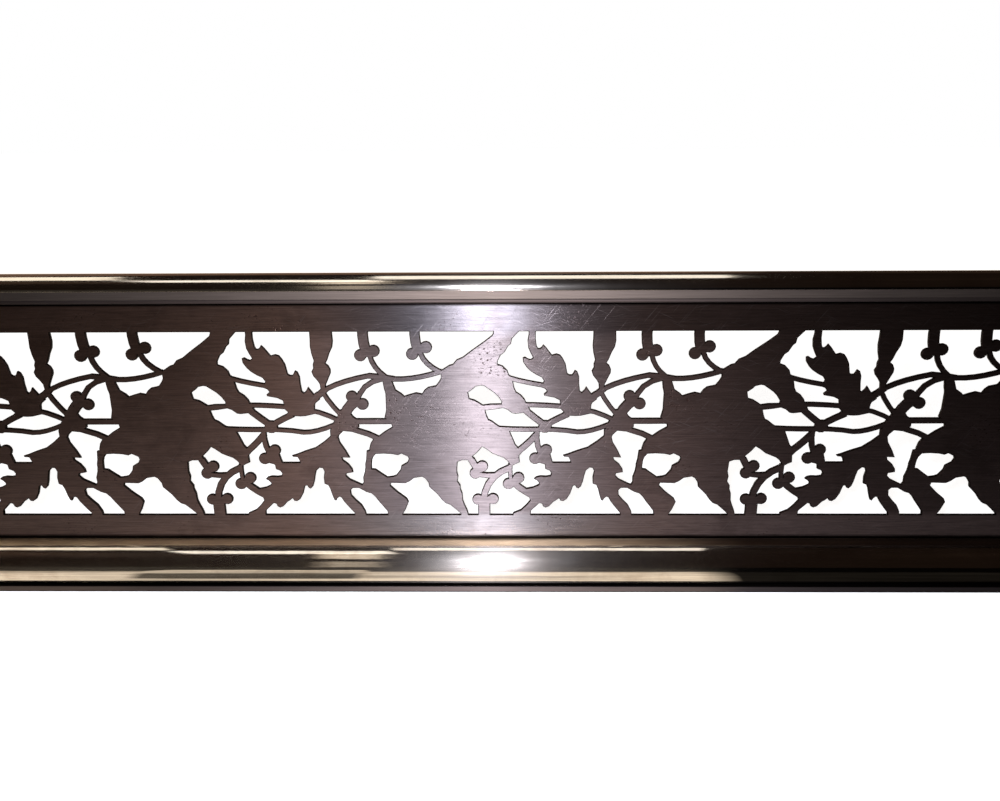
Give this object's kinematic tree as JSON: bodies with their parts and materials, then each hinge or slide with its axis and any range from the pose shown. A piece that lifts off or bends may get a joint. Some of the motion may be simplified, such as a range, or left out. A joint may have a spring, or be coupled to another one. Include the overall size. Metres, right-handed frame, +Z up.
{
  "type": "fire fender",
  "caption": "U-shaped hearth fender with a pierced foliage panel between a half-round top rail and a stepped base moulding, on a flat floor plate, open at the back.",
  "frame": {"origin": "middle of the fender's box, on the hearth it stands on", "axes": "+Z up, +X along the front to the right as seen from the room, and the pierced front faces -Y"},
  "size_m": [1.28, 0.3542, 0.18],
  "materials": {
    "panel_steel": "burnished sheet steel with a horizontal grain, worn, with fine scratches and rust pits",
    "rolled_steel": "burnished rolled sheet steel with a warm brown tarnish in the hollows",
    "blacked_iron": "sheet iron blacked with stove polish, dull",
    "rivet_steel": "dull forged steel",
    "screw_steel": "dark steel with a little rust"
  },
  "bodies": {
    "root": {"front_panel": "panel_steel", "left_panel": "panel_steel", "right_panel": "panel_steel", "front_top_rail": "rolled_steel", "left_top_rail": "rolled_steel", "right_top_rail": "rolled_steel", "front_base_moulding": "rolled_steel", "left_base_moulding": "rolled_steel", "right_base_moulding": "rolled_steel", "front_base_angle": "blacked_iron", "left_base_angle": "blacked_iron", "right_base_angle": "blacked_iron", "front_floor_plate": "blacked_iron", "left_floor_plate": "blacked_iron", "right_floor_plate": "blacked_iron", "left_joint_plate": "blacked_iron", "right_joint_plate": "blacked_iron", "left_corner_angle": "blacked_iron", "right_corner_angle": "blacked_iron", "left_end_stile": "rolled_steel", "right_end_stile": "rolled_steel", "left_rail_cap": "rolled_steel", "right_rail_cap": "rolled_steel", "left_base_cap": "rolled_steel", "right_base_cap": "rolled_steel", "rail_rivets": "rivet_steel", "base_rivets": "rivet_steel", "corner_rivets": "rivet_steel", "stile_rivets": "rivet_steel", "joint_rivets": "rivet_steel", "floor_screws": "screw_steel", "floor_nuts": "screw_steel"}
  },
  "joints": []
}
